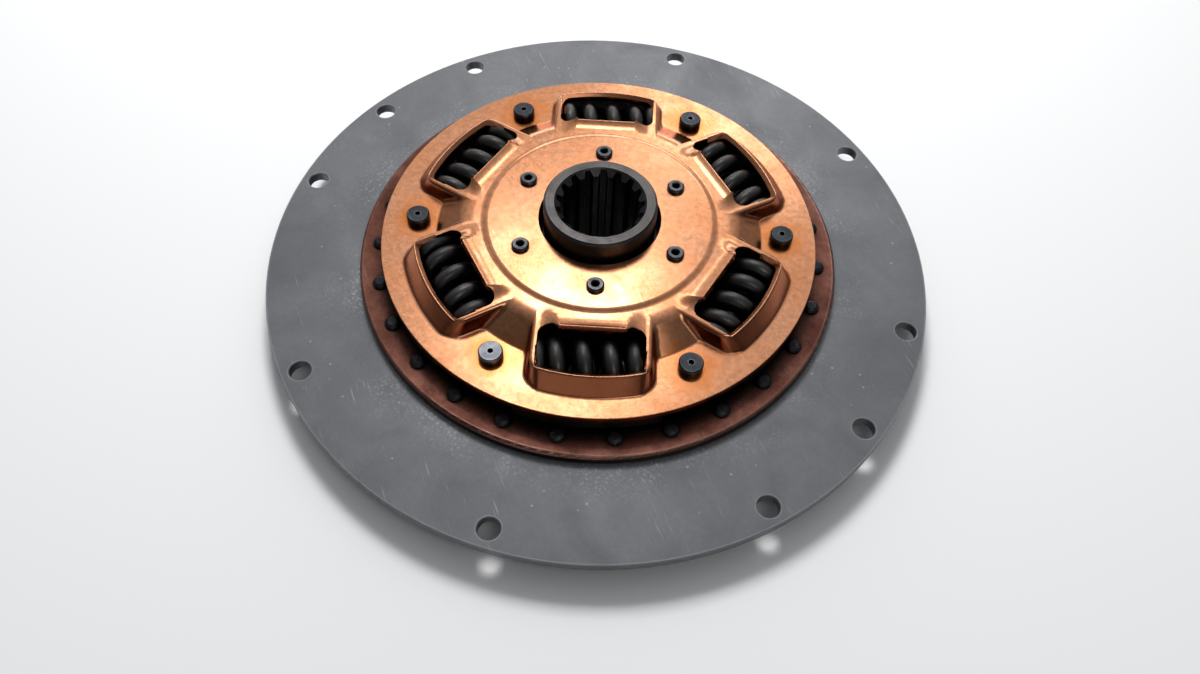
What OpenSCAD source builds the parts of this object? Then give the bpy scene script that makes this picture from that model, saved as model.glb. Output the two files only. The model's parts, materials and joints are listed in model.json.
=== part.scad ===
// Torsional vibration damper for a splined drive shaft, bolted to an 11-1/2 inch flywheel.
// Six nested coil springs sit in pressed windows between two covers, and drive a splined hub
// through its flange. Six stop pins limit the twist. Millimetres, Z up, on the hub's rear end.

/* [Flange plate] */
// outside diameter, the pilot in the flywheel
plate_od = 352.4; // [340:0.1:370]
// sheet thickness of the plate
plate_thickness = 6; // [4:0.5:8]
// gap between the rear heads of the stop pins and the plate's opening
plate_clearance = 4.4; // [3:0.2:6]
// distance of the bolt circle from the plate's outer edge
bolt_edge = 9.5; // [8:0.1:14]
// diameter of every bolt hole
bolt_hole = 11; // [8:0.5:13]
// evenly spaced bolt holes
bolt_count = 8; // [4:1:12]
// bevel on the hole rims and on the plate's outer edge
plate_bevel = 0.4; // [0.2:0.1:0.8]

/* [Rear cover] */
// outside diameter of the flat rear cover
rear_cover_od = 253.6; // [250:0.2:258]
// thickness of the rear cover
rear_cover_thickness = 5.5; // [4:0.5:7]
// rounding of its outer front edge
rear_cover_edge = 1.5; // [0.5:0.1:2]

/* [Ring rivets] */
// rivets that hold the rear cover to the flange plate
ring_rivet_count = 27; // [12:1:30]
// shank diameter
ring_rivet_shank = 5; // [4:0.5:6]
// head diameter
ring_rivet_head = 8; // [6.5:0.5:9]
// height of the domed head
ring_rivet_head_height = 2.4; // [1:0.1:2.6]
// depth of the flush head at the plate's rear face
ring_rivet_sink = 1.8; // [1:0.2:2.4]

/* [Front cover] */
// outside diameter of the pressed front cover
front_cover_od = 227.2; // [224:0.2:228]
// thickness of the pressed sheet
sheet = 3.5; // [2.5:0.1:4]
// clear distance between the two covers
cover_gap = 10.2; // [9.5:0.1:12]
// rise of the middle of the cover over its rim
cover_rise = 9.4; // [8:0.1:11]
// diameter where the slope between the windows meets the rim
slope_foot = 170; // [166:0.5:174]
// diameter where the slope meets the middle disc
slope_top = 140; // [138:0.5:146]
// radius of the soft fold where the slope meets the middle disc
slope_top_fold = 6; // [3:0.5:8]
// radius of the crisp fold at the foot of the slope
slope_foot_fold = 1.5; // [0.5:0.1:3]
// bevel on the cover's outer and inner edges
cover_bevel = 0.5; // [0.2:0.1:0.8]
// diameter of the shallow step in the middle disc
step_diameter = 119.2; // [114:0.2:122]
// height of that step
step_height = 0.7; // [0.3:0.1:1]
// diameter of the hole round the hub
front_cover_bore = 63; // [62:0.5:70]

/* [Spring windows] */
// number of windows, springs and stop pins
window_count = 6; // [4:1:6]
// diameter where the outer lip rises from the rim
lip_foot = 205.6; // [204:0.2:208]
// diameter of the lip's upper edge
lip_edge = 192; // [190:0.2:194]
// height of the lip over the rim
lip_height = 8.4; // [7:0.1:9]
// corner radius of the raised wall round a window
window_corner = 7; // [5:0.5:9]
// corner radius of the opening at its outer corners
opening_corner = 4; // [1.5:0.1:5]
// lean of the raised walls at the ends of a window
wall_lean = 1.8; // [1:0.1:2.5]
// half the width of the outer lip, to the folds at its ends
lip_half = 23; // [20:0.5:24]
// wall left where the corner beside a lip is drawn thin
corner_wall = 2.4; // [1.5:0.1:3]
// distance from the axis to the crease of the inner tab
tab_crease = 66.5; // [65:0.5:68]
// distance from the axis to the tab's upper edge
tab_edge = 71.5; // [70.5:0.5:73]
// height of the tab's edge over the middle disc
tab_rise = 2.3; // [1:0.1:3]
// radius of the round relief at each end of the tab
tab_relief = 5; // [4:0.2:6]

/* [Springs] */
// circle on which the spring axes lie
spring_circle = 163; // [161:0.5:165]
// length of the springs as fitted
spring_length = 51; // [49:0.5:53]
// outside diameter of the outer springs
spring_od = 31; // [29:0.1:31.5]
// wire of the outer springs
spring_wire = 8.5; // [7:0.1:8.6]
// turns of the outer springs
spring_turns = 4.75; // [3.75:0.25:5]
// turn of the springs about their own axes
spring_clocking = 234; // [0:1:359]
// outside diameter of the inner springs
inner_spring_od = 13; // [11:0.1:13.4]
// wire of the inner springs
inner_spring_wire = 3.2; // [2.4:0.1:3.6]
// turns of the inner springs
inner_spring_turns = 8; // [6:0.5:9]
// gap between a spring's end and the window that it sits in
spring_seat = 0.2; // [0.1:0.05:0.4]
// gap between a spring's side and the walls of its windows
spring_side = 0.5; // [0.3:0.1:1]

/* [Stop pins] */
// circle of the stop pins
pin_circle = 190.6; // [188:0.2:193]
// diameter of the pin's barrel between the covers
pin_barrel = 10; // [9:0.5:12]
// diameter of the pin's ends in the two covers
pin_shank = 8; // [6:0.5:8.5]
// diameter of the front head
pin_head = 12; // [11:0.5:14]
// height of the front head
pin_head_height = 4.6; // [3:0.2:6]
// diameter of the centre mark in the head
pin_centre = 3; // [2:0.5:4]
// diameter of the riveted rear head
pin_rear_head = 13; // [12:0.5:14]
// height of the riveted rear head
pin_rear_height = 2.6; // [2:0.2:4]

/* [Cover rivets] */
// circle of the tubular rivets round the hub
cover_rivet_circle = 90.2; // [86:0.2:94]
// diameter of their heads
cover_rivet_head = 9; // [8:0.5:10]
// height of their heads
cover_rivet_head_height = 2.3; // [1.5:0.1:3]
// diameter of their shanks
cover_rivet_shank = 6; // [5:0.5:7]
// bore of the tubular rivets
cover_rivet_bore = 3.6; // [2:0.2:4]

/* [Hub] */
// outside diameter of the hub
hub_od = 58.3; // [54:0.1:59]
// overall length of the hub
hub_length = 57.5; // [54:0.5:70]
// length of the hub behind its flange
hub_rear_length = 25; // [22:0.5:30]
// outside diameter of the hub's flange
hub_flange_od = 225; // [222:0.5:226]
// thickness of the hub's flange
hub_flange_thickness = 5; // [4:0.2:6]
// flare of the notches for the stop pins
notch_flare = 20; // [10:1:25]
// corner radius of the windows in the hub's flange
flange_window_corner = 1; // [0.5:0.1:1]
// chamfer on the hub's outer corners
hub_chamfer = 1.2; // [0.5:0.1:2]

/* [Spline] */
// number of teeth
spline_teeth = 17; // [12:1:24]
// turn of the spline from the two added bolt holes
spline_turn = -1.5; // [-10:0.5:10]
// diameter at the tips of the teeth
spline_minor = 40.6; // [38:0.1:42]
// diameter at the bottom of the spaces
spline_major = 45.8; // [45:0.1:47]
// width of a space at the tooth tips
space_mouth = 5.2; // [4.4:0.1:5.4]
// width of a space at its bottom
space_floor = 2.9; // [2.4:0.1:3.2]
// depth of the lead-in chamfer at both ends
spline_chamfer = 0.8; // [0.4:0.1:1.2]

/* [Friction pack] */
// thickness of the two friction washers
washer_thickness = 3; // [2:0.1:3.4]
// outside diameter of the friction washers
washer_od = 112; // [100:1:116]
// inside diameter of the friction washers
washer_bore = 66; // [64:1:80]
// thickness of the pressure plate
pressure_thickness = 2.5; // [2:0.1:3]
// thickness of the coned spring
cone_spring_thickness = 2; // [1.5:0.1:2.2]
// outside diameter of the coned spring
cone_spring_od = 104; // [98:1:108]
// inside diameter of the coned spring
cone_spring_bore = 68; // [64:1:74]
// thickness of the carrier ring under the front cover
carrier_thickness = 3; // [2:0.1:3.2]
// outside diameter of the carrier ring
carrier_od = 114; // [108:1:116]
// diameter of the centring bush's seat in the rear cover
bush_seat = 66; // [64:0.5:70]
// diameter of the centring bush's collar
bush_collar = 76; // [72:1:84]
// thickness of that collar
bush_collar_thickness = 2; // [1.5:0.1:3]

/* [Motion and fits] */
// twist of the hub to each side before it meets the stop pins
travel = 6; // [4:0.5:6.5]
// gap left between a pin and its notch at full twist
stop_gap = 0.3; // [0.1:0.05:0.5]
// gap round a rivet or a pin in its holes
rivet_gap = 0.05; // [0.02:0.01:0.1]
// running gap between the bush and the hub
bush_gap = 0.05; // [0.02:0.01:0.1]

/* [Hidden] */
$fn = 96;
eps = 0.01;
tall = 3 * hub_length;
steel_grey = [0.45, 0.47, 0.5];
copper = [0.85, 0.56, 0.38];
dusky = [0.62, 0.42, 0.37];
dark = [0.2, 0.21, 0.24];
spring_black = [0.12, 0.13, 0.15];
lining = [0.35, 0.3, 0.26];

// circles: the plate's opening clears the stop pins, and the ring rivets lie midway on the overlap
bolt_circle = plate_od - 2 * bolt_edge;
plate_bore = pin_circle + pin_rear_head + 2 * plate_clearance;
ring_rivet_circle = (plate_bore + rear_cover_od) / 2;

// levels along the axis, from the hub's rear end upwards
flange_bottom = hub_rear_length;
flange_top = flange_bottom + hub_flange_thickness;
rear_top = flange_bottom - washer_thickness;
plate_top = rear_top - rear_cover_thickness;
plate_bottom = plate_top - plate_thickness;
rim_bottom = rear_top + cover_gap;
rim_top = rim_bottom + sheet;
disc_top = rim_top + cover_rise;
step_top = disc_top + step_height;
spring_level = (flange_bottom + flange_top) / 2;
lip_top = rim_top + lip_height;
tab_top = disc_top + tab_rise;
pressure_top = flange_top + washer_thickness + pressure_thickness;
carrier_bottom = step_top - sheet - carrier_thickness;

// angles: the two added bolt holes lie on the X axis, the windows are turned from it
window_pitch = 360 / window_count;
window_turn = 6.7;
bolt_turn = 180 / bolt_count;

// lengths and radii that follow from the springs
spring_r = spring_circle / 2;
half_window = spring_length / 2 + spring_seat;
half_wall = half_window + sheet + wall_lean;
spring_room = spring_od / 2 + spring_side;
corner_n = sqrt(pow(lip_foot / 2 - window_corner, 2) - pow(half_wall - window_corner, 2));

// direction of the lip, from its foot to its edge, and of the tab
lip_slope = atan2(lip_height, (lip_foot - lip_edge) / 2);
tab_slope = atan2(tab_rise, tab_edge - tab_crease);
slope_angle = atan2(cover_rise, (slope_foot - slope_top) / 2);
slope_shift = sheet * tan(slope_angle / 2);

// the corner beside a lip: a slanted face from the lip's end to the foot of the end wall
fold_foot = sqrt(pow(lip_foot / 2, 2) - pow(lip_half, 2));
fold_edge = sqrt(pow(lip_edge / 2, 2) - pow(lip_half, 2));
corner_turn = atan2(fold_foot - corner_n, half_wall - lip_half);
corner_lean = atan2((fold_foot - fold_edge) * cos(corner_turn), lip_height);

// colours and numbers of the numbered pieces

// places a child in one window's own frame: X points outwards, Y along the spring
module in_window(k) {
    rotate([0, 0, window_turn + k * window_pitch]) children();
}

module in_every_window() {
    for (k = [0 : window_count - 1]) in_window(k) children();
}

// places a child on the pitch circle of the stop pins, half a pitch from the windows
module at_pin(k) {
    rotate([0, 0, window_turn + (k + 0.5) * window_pitch]) translate([pin_circle / 2, 0, 0]) children();
}

module at_every_pin() {
    for (k = [0 : window_count - 1]) at_pin(k) children();
}

module at_ring_rivets() {
    for (k = [0 : ring_rivet_count - 1])
        rotate([0, 0, (k + 0.5) * 360 / ring_rivet_count])
            translate([ring_rivet_circle / 2, 0, 0]) children();
}

module at_cover_rivets() {
    in_every_window() translate([cover_rivet_circle / 2, 0, 0]) children();
}

// a flat ring between two levels
module ring(outer_d, inner_d, z0, z1) {
    rotate_extrude() translate([inner_d / 2, z0]) square([(outer_d - inner_d) / 2, z1 - z0]);
}

// extrudes an outline drawn in (distance from the axis, height) straight along a window
module along_window(half) {
    rotate([90, 0, 0]) linear_extrude(height = 2 * half, center = true) children();
}

// outline in plan: straight ends, a concentric outer side and round outer corners
module window_plan(from, half, reach, r) {
    side_t = half - r;
    side_n = sqrt(pow(reach - r, 2) - pow(side_t, 2));
    translate([from, -half]) square([side_n - from, 2 * half]);
    for (side = [-1, 1]) translate([side_n, side * side_t]) circle(r = r);
    intersection() {
        circle(r = reach);
        polygon([[from, -from * side_t / side_n], [2 * side_n, -2 * side_t],
            [2 * side_n, 2 * side_t], [from, from * side_t / side_n]]);
    }
}

// rectangle with round corners, from one distance to another
module rounded_slot(from, to, half, r) {
    translate([from + r, -half]) square([to - from - 2 * r, 2 * half]);
    translate([from, -half + r]) square([to - from, 2 * half - 2 * r]);
    for (x = [from + r, to - r], y = [-half + r, half - r]) translate([x, y]) circle(r = r);
}

module flange_plate() color(steel_grey) difference() {
    rotate_extrude() polygon([
        [plate_bore / 2, plate_bottom],
        [plate_od / 2 - plate_bevel, plate_bottom],
        [plate_od / 2, plate_bottom + plate_bevel],
        [plate_od / 2, plate_top - plate_bevel],
        [plate_od / 2 - plate_bevel, plate_top],
        [plate_bore / 2, plate_top]]);
    for (k = [0 : bolt_count - 1]) rotate([0, 0, bolt_turn + k * 360 / bolt_count]) bolt_cut();
    for (side = [0, 180]) rotate([0, 0, side]) bolt_cut();
    at_ring_rivets() {
        translate([0, 0, plate_bottom - 1])
            cylinder(d = ring_rivet_shank + 2 * rivet_gap, h = plate_thickness + 2);
        rivet_sink(rivet_gap);
    }
}

// a bolt hole with a bevel at both rims
module bolt_cut() {
    translate([bolt_circle / 2, 0, 0]) rotate_extrude() polygon([
        [0, plate_bottom - 1],
        [bolt_hole / 2 + plate_bevel + 1, plate_bottom - 1],
        [bolt_hole / 2, plate_bottom + plate_bevel],
        [bolt_hole / 2, plate_top - plate_bevel],
        [bolt_hole / 2 + plate_bevel + 1, plate_top + 1],
        [0, plate_top + 1]]);
}

// the flush head of a ring rivet in the plate's rear face, or the hole that it fills
module rivet_sink(gap) {
    translate([0, 0, plate_bottom - (gap > 0 ? eps : 0)])
        cylinder(r1 = ring_rivet_shank / 2 + ring_rivet_sink + gap, r2 = ring_rivet_shank / 2 + gap,
            h = ring_rivet_sink + (gap > 0 ? eps : 0));
}

module ring_rivets() color(dusky) at_ring_rivets() {
    translate([0, 0, plate_bottom]) cylinder(d = ring_rivet_shank, h = rear_top - plate_bottom);
    rivet_sink(0);
    rotate_extrude() polygon([
        [0, rear_top],
        [ring_rivet_head / 2, rear_top],
        [ring_rivet_head / 2, rear_top + ring_rivet_head_height * 0.4],
        [ring_rivet_head / 2 - 0.7, rear_top + ring_rivet_head_height * 0.8],
        [ring_rivet_head / 2 - 1.8, rear_top + ring_rivet_head_height],
        [0, rear_top + ring_rivet_head_height]]);
}

// radius or distance of a wall that touches the spring's lower half at a slant
slant = 30;
function slant_wall(z) = spring_room / cos(slant) + (z - spring_level) * tan(slant);

module rear_cover() color(dusky) difference() {
    rotate_extrude() {
        translate([bush_seat / 2, plate_top])
            square([rear_cover_od / 2 - rear_cover_edge - bush_seat / 2, rear_cover_thickness]);
        translate([bush_seat / 2, plate_top])
            square([(rear_cover_od - bush_seat) / 2, rear_cover_thickness - rear_cover_edge]);
        translate([rear_cover_od / 2 - rear_cover_edge, rear_top - rear_cover_edge])
            circle(r = rear_cover_edge);
    }
    in_every_window() rear_window();
    at_every_pin() translate([0, 0, plate_top - 1])
        cylinder(d = pin_shank + 2 * rivet_gap, h = rear_cover_thickness + 2);
    at_ring_rivets() translate([0, 0, plate_top - 1])
        cylinder(d = ring_rivet_shank + 2 * rivet_gap, h = rear_cover_thickness + 2);
}

// window in the rear cover, with slanted long sides that keep the spring from falling through
module rear_window() {
    low = plate_top - 1;
    high = rear_top + 1;
    intersection() {
        translate([0, 0, low]) linear_extrude(height = high - low)
            rounded_slot(spring_r - 2 * spring_room, spring_r + 2 * spring_room, half_window, 3);
        along_window(half_window) polygon([
            [spring_r - slant_wall(low), low], [spring_r + slant_wall(low), low],
            [spring_r + slant_wall(high), high], [spring_r - slant_wall(high), high]]);
    }
}

// points of a fold of radius r between two runs towards the axis that rise at angles a and b
function fold(corner, a, b, r, steps) = let (reach = r * tan(abs(b - a) / 2))
    [for (i = [0 : steps]) let (s = i / steps, from = pow(1 - s, 2) * reach, to = pow(s, 2) * reach)
        corner + from * [cos(a), -sin(a)] + to * [-cos(b), sin(b)]];

// the cover's revolved form down to a level: everything under its upper face, or its under face
module cover_form(drop) {
    shift = drop > 0 ? slope_shift : 0;
    rotate_extrude() polygon([
        [0, rim_bottom - drop - 1],
        [front_cover_od / 2 + drop, rim_bottom - drop - 1],
        [front_cover_od / 2 + drop, rim_top - drop],
        each fold([slope_foot / 2 - shift, rim_top - drop], 0, slope_angle,
            slope_foot_fold + (drop > 0 ? sheet : 0), 2),
        each fold([slope_top / 2 - shift, disc_top - drop], slope_angle, 0,
            max(slope_top_fold - drop, 1), 3),
        [step_diameter / 2 + 0.4, disc_top - drop],
        [step_diameter / 2 - 0.4, step_top - drop],
        [0, step_top - drop]]);
}

// everything outside the slanted faces at a window's outer corners, moved out by an offset
module beyond_corners(shift) {
    for (side = [0, 1]) mirror([0, side, 0])
        translate([fold_foot, lip_half, rim_top]) rotate([0, 0, corner_turn]) rotate([0, -corner_lean, 0])
            translate([shift, -lip_foot / 2, -lip_foot / 2]) cube(lip_foot);
}

// the raised walls round a window, as a solid block with leaning ends and a conical outer lip
module window_block() {
    inner = step_diameter / 2 + 2;
    face = half_window + sheet;
    difference() {
        intersection() {
            translate([0, 0, rim_bottom]) linear_extrude(height = lip_top + tab_rise - rim_bottom)
                window_plan(inner, half_wall, lip_foot / 2, window_corner);
            rotate_extrude() polygon([
                [0, rim_bottom],
                [lip_foot / 2 + sheet / tan(lip_slope), rim_bottom],
                [lip_edge / 2, lip_top],
                [tab_edge, disc_top],
                [0, disc_top]]);
            rotate([90, 0, 90]) linear_extrude(height = lip_foot) polygon([
                [-half_wall, rim_bottom], [half_wall, rim_bottom], [half_wall, rim_top - 0.5],
                [face, lip_top - 1.5], [face - 1, disc_top + 1],
                [1 - face, disc_top + 1], [-face, lip_top - 1.5], [-half_wall, rim_top - 0.5]]);
        }
        beyond_corners(1);
    }
}

// the space of a spring inside those walls, with the opening over it
module window_room() {
    // the lip's under face runs parallel to its outer face, one sheet away
    edge_r = lip_edge / 2 - sheet * sin(lip_slope);
    edge_z = lip_top - sheet * cos(lip_slope);
    low = rim_bottom - 2;
    root = tab_crease + sheet * tan(tab_slope / 2);
    relief_t = half_window - tab_relief;
    difference() {
        intersection() {
            union() {
                translate([0, 0, low]) linear_extrude(height = edge_z - 0.5 - low)
                    window_plan(spring_r, half_window, lip_foot / 2, 1.2);
                translate([0, 0, low]) linear_extrude(height = tall)
                    window_plan(tab_edge + 0.5, half_window, lip_edge / 2, opening_corner);
                translate([0, 0, low]) linear_extrude(height = tall) {
                    for (side = [-1, 1]) translate([tab_edge + 0.5, side * relief_t])
                        circle(r = tab_relief);
                    translate([root + 0.3, -relief_t + tab_relief])
                        square([tab_edge + 1 - root, 2 * (relief_t - tab_relief)]);
                }
            }
            rotate_extrude() polygon([
                [0, low],
                [edge_r + (edge_z - low) / tan(lip_slope), low],
                [edge_r, edge_z],
                [edge_r + 10 * sin(lip_slope), edge_z + 10 * cos(lip_slope)],
                [edge_r + 10 * sin(lip_slope), tall],
                [0, tall]]);
        }
        beyond_corners(1 - corner_wall);
    }
}

// the straight inner tab, bent upwards from the middle disc
module window_tab() {
    root = tab_crease + sheet * tan(tab_slope / 2);
    along_window(half_window - 2 * tab_relief + 0.2) polygon([
        [tab_crease - 2, disc_top - sheet * 0.6],
        [root + 0.1, disc_top - sheet + 0.1 * tan(tab_slope)],
        [tab_edge + sheet * sin(tab_slope), tab_top - sheet * cos(tab_slope)],
        [tab_edge, tab_top],
        [tab_crease - 2, disc_top - 2 * tan(tab_slope)]]);
}

// the cover's flat ring with bevelled edges, open upwards
module cover_blank() {
    outer = front_cover_od / 2;
    rotate_extrude() polygon([
        [front_cover_bore / 2, rim_bottom],
        [outer - cover_bevel, rim_bottom],
        [outer, rim_bottom + cover_bevel],
        [outer, rim_top - cover_bevel],
        [outer - cover_bevel, rim_top],
        [outer - cover_bevel, step_top + 1],
        [front_cover_bore / 2 + cover_bevel + 1, step_top + 1],
        [front_cover_bore / 2, step_top - cover_bevel]]);
}

module front_cover() color(copper) {
    difference() {
        union() {
            intersection() {
                cover_form(0);
                cover_blank();
            }
            in_every_window() window_block();
        }
        cover_form(sheet);
        in_every_window() window_room();
        at_every_pin() translate([0, 0, rim_bottom - 1])
            cylinder(d = pin_shank + 2 * rivet_gap, h = sheet + 2);
        at_cover_rivets() translate([0, 0, step_top - 2 * sheet])
            cylinder(d = cover_rivet_shank + 2 * rivet_gap, h = 3 * sheet);
    }
    in_every_window() window_tab();
}

module carrier_ring() color(dark) difference() {
    ring(carrier_od, front_cover_bore + 3, carrier_bottom, step_top - sheet);
    at_cover_rivets() {
        translate([0, 0, carrier_bottom - 1])
            cylinder(d = cover_rivet_shank + 2 * rivet_gap, h = carrier_thickness + 2);
        cover_rivet_flare(rivet_gap);
    }
}

// the rivets' flared ends, flush with the carrier ring's under face
module cover_rivet_flare(gap) {
    translate([0, 0, carrier_bottom - (gap > 0 ? eps : 0)])
        cylinder(r1 = cover_rivet_shank / 2 + 1 + gap, r2 = cover_rivet_shank / 2 + gap,
            h = 1 + (gap > 0 ? eps : 0));
}

module cover_rivets() color(steel_grey) at_cover_rivets() difference() {
    union() {
        translate([0, 0, carrier_bottom]) cylinder(d = cover_rivet_shank, h = step_top - carrier_bottom);
        cover_rivet_flare(0);
        rotate_extrude() polygon([
            [0, step_top],
            [cover_rivet_head / 2, step_top],
            [cover_rivet_head / 2, step_top + cover_rivet_head_height - 0.8],
            [cover_rivet_head / 2 - 0.8, step_top + cover_rivet_head_height],
            [0, step_top + cover_rivet_head_height]]);
    }
    translate([0, 0, carrier_bottom - 1]) cylinder(d = cover_rivet_bore, h = tall);
    translate([0, 0, step_top + cover_rivet_head_height - 0.6])
        cylinder(r1 = cover_rivet_bore / 2, r2 = cover_rivet_bore / 2 + 1, h = 1);
}

module coned_spring() color(dark) rotate_extrude() polygon([
    [cone_spring_bore / 2, pressure_top],
    [cone_spring_od / 2, carrier_bottom - cone_spring_thickness],
    [cone_spring_od / 2, carrier_bottom],
    [cone_spring_bore / 2, pressure_top + cone_spring_thickness]]);

module pressure_plate() color(steel_grey)
    ring(washer_od, washer_bore, flange_top + washer_thickness, pressure_top);

module front_friction_washer() color(lining)
    ring(washer_od, washer_bore, flange_top, flange_top + washer_thickness);

module rear_friction_washer() color(lining)
    ring(washer_od, washer_bore, rear_top, flange_bottom);

module centring_bush() color(lining) {
    inner = hub_od + 2 * bush_gap;
    ring(bush_seat - 2 * rivet_gap, inner, plate_top - bush_collar_thickness, rear_top);
    ring(bush_collar, inner, plate_top - bush_collar_thickness, plate_top);
}

module hub() color(steel_grey) difference() {
    union() {
        rotate_extrude() polygon([
            [0, 0],
            [hub_od / 2 - hub_chamfer, 0],
            [hub_od / 2, hub_chamfer],
            [hub_od / 2, hub_length - hub_chamfer],
            [hub_od / 2 - hub_chamfer, hub_length],
            [0, hub_length]]);
        translate([0, 0, flange_bottom]) linear_extrude(height = hub_flange_thickness) flange_outline();
    }
    translate([0, 0, -1]) linear_extrude(height = hub_length + 2) spline_outline();
    spline_lead();
    translate([0, 0, hub_length]) mirror([0, 0, 1]) spline_lead();
}

// the hub's flange with a window for each spring and a notch for each stop pin
module flange_outline() difference() {
    circle(d = hub_flange_od);
    in_every_window() rounded_slot(
        spring_r - spring_room, spring_r + spring_room, half_window, flange_window_corner);
    for (k = [0 : window_count - 1]) rotate(window_turn + (k + 0.5) * window_pitch) pin_notch();
}

// the notch is the path of a pin over its travel, flared outwards to the flange's edge
module pin_notch() {
    room = pin_barrel / 2 + stop_gap;
    reach = pin_circle / 4;
    for (side = [-1, 1]) rotate(side * travel) translate([pin_circle / 2, 0]) {
        circle(r = room);
        polygon([[0, 0],
            [-room * sin(notch_flare), side * room * cos(notch_flare)],
            [reach, side * (room * cos(notch_flare) + reach * tan(notch_flare))],
            [reach, 0]]);
    }
    intersection() {
        difference() {
            circle(r = hub_flange_od);
            circle(r = pin_circle / 2 - room + stop_gap / 5);
        }
        polygon([[0, 0],
            [hub_flange_od, -hub_flange_od * tan(travel)],
            [hub_flange_od, hub_flange_od * tan(travel)]]);
    }
}

module spline_outline() {
    circle(d = spline_minor);
    intersection() {
        circle(d = spline_major);
        for (k = [0 : spline_teeth - 1]) rotate(spline_turn + k * 360 / spline_teeth) polygon([
            [spline_minor / 4, -space_mouth / 2], [spline_minor / 2 - 0.3, -space_mouth / 2],
            [spline_major / 2, -space_floor / 2], [spline_major / 2 + 1, -space_floor / 2],
            [spline_major / 2 + 1, space_floor / 2], [spline_major / 2, space_floor / 2],
            [spline_minor / 2 - 0.3, space_mouth / 2], [spline_minor / 4, space_mouth / 2]]);
    }
}

module spline_lead() {
    top_r = spline_major / 2 + spline_chamfer;
    depth = top_r - spline_minor / 2;
    translate([0, 0, -1]) cylinder(r1 = top_r + 1, r2 = spline_minor / 2, h = depth + 1);
}

module stop_pin(k) color(dark) at_pin(k) difference() {
    rotate_extrude() polygon([
        [0, plate_top - pin_rear_height],
        [pin_rear_head / 2 - 1, plate_top - pin_rear_height],
        [pin_rear_head / 2, plate_top - pin_rear_height + 1],
        [pin_rear_head / 2, plate_top],
        [pin_shank / 2, plate_top],
        [pin_shank / 2, rear_top],
        [pin_barrel / 2, rear_top],
        [pin_barrel / 2, rim_bottom],
        [pin_shank / 2, rim_bottom],
        [pin_shank / 2, rim_top],
        [pin_head / 2, rim_top],
        [pin_head / 2, rim_top + pin_head_height - 0.7],
        [pin_head / 2 - 0.7, rim_top + pin_head_height],
        [0, rim_top + pin_head_height]]);
    translate([0, 0, rim_top + pin_head_height - 2.5]) cylinder(d = pin_centre, h = 3);
}

// height of the wire's centre along a spring: closed end turns, open ones between them
function wire_height(turn, turns, pitch, end_pitch, closed) =
    end_pitch * (min(turn, closed) + max(0, turn - turns + closed))
    + pitch * (max(closed, min(turn, turns - closed)) - closed);

// a right-hand coil spring along Z, centred, swept with its ends ground flat
module coil_spring(od, wire, turns, length, steps, sides) {
    r = (od - wire) / 2;
    w = wire / 2;
    closed = 1;
    grind = -0.14 * wire;
    end_pitch = wire + 0.15;
    pitch = (length - 2 * grind - 2 * closed * end_pitch) / (turns - 2 * closed);
    last = round(turns * steps);
    function ring(i) = let (
        turn = i / steps,
        turning = 360 * turn,
        out = [cos(turning), sin(turning), 0],
        rise = atan(pitch / (2 * PI * r)),
        side = [sin(turning) * sin(rise), -cos(turning) * sin(rise), cos(rise)],
        middle = r * out + [0, 0, grind - length / 2 + wire_height(turn, turns, pitch, end_pitch, closed)])
        [for (j = [0 : sides - 1]) let (
            p = middle + w * (cos(360 * j / sides) * out + sin(360 * j / sides) * side))
            [p[0], p[1], max(-length / 2, min(length / 2, p[2]))]];
    points = [for (i = [0 : last]) each ring(i)];
    polyhedron(points, concat(
        [for (j = [1 : sides - 2]) [0, j, j + 1]],
        [for (i = [0 : last - 1], j = [0 : sides - 1]) let (
            a = i * sides + j, b = i * sides + (j + 1) % sides)
            each [[a, a + sides, b + sides], [a, b + sides, b]]],
        [for (j = [1 : sides - 2]) [last * sides, last * sides + j + 1, last * sides + j]]));
}

// lays a spring in its window, its axis along the window, turned about that axis
module in_spring_seat(k) {
    in_window(k) translate([spring_r, 0, spring_level]) rotate([-90, 0, 0])
        rotate([0, 0, spring_clocking]) children();
}

module outer_spring(k) color(spring_black) in_spring_seat(k)
    coil_spring(spring_od, spring_wire, spring_turns, spring_length, 14, 8);

module inner_spring(k) color(spring_black) in_spring_seat(k)
    coil_spring(inner_spring_od, inner_spring_wire, inner_spring_turns, spring_length, 9, 5);

flange_plate();
ring_rivets();
rear_cover();
front_cover();
carrier_ring();
cover_rivets();
coned_spring();
pressure_plate();
front_friction_washer();
rear_friction_washer();
centring_bush();
hub();
stop_pin(0);  // stop_pin_1
stop_pin(1);  // stop_pin_2
stop_pin(2);  // stop_pin_3
stop_pin(3);  // stop_pin_4
stop_pin(4);  // stop_pin_5
stop_pin(5);  // stop_pin_6
outer_spring(0);  // outer_spring_1
outer_spring(1);  // outer_spring_2
outer_spring(2);  // outer_spring_3
outer_spring(3);  // outer_spring_4
outer_spring(4);  // outer_spring_5
outer_spring(5);  // outer_spring_6
inner_spring(0);  // inner_spring_1
inner_spring(1);  // inner_spring_2
inner_spring(2);  // inner_spring_3
inner_spring(3);  // inner_spring_4
inner_spring(4);  // inner_spring_5
inner_spring(5);  // inner_spring_6
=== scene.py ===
# %% [markdown]
# # A torsional vibration damper, dressed for its portrait
# The damper sits between an engine's flywheel and the shaft that it drives. A flat steel
# plate carries two copper-coated covers, coil springs are caught in the covers' six
# windows, and a splined hub turns a few degrees against them. The CAD model is loaded
# first and stays as it is: everything below gives it finishes, or stands a finer mesh
# in the place of one of its nodes.

import json
import math

import bpy
import numpy as np
from mathutils import Matrix, Vector


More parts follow.
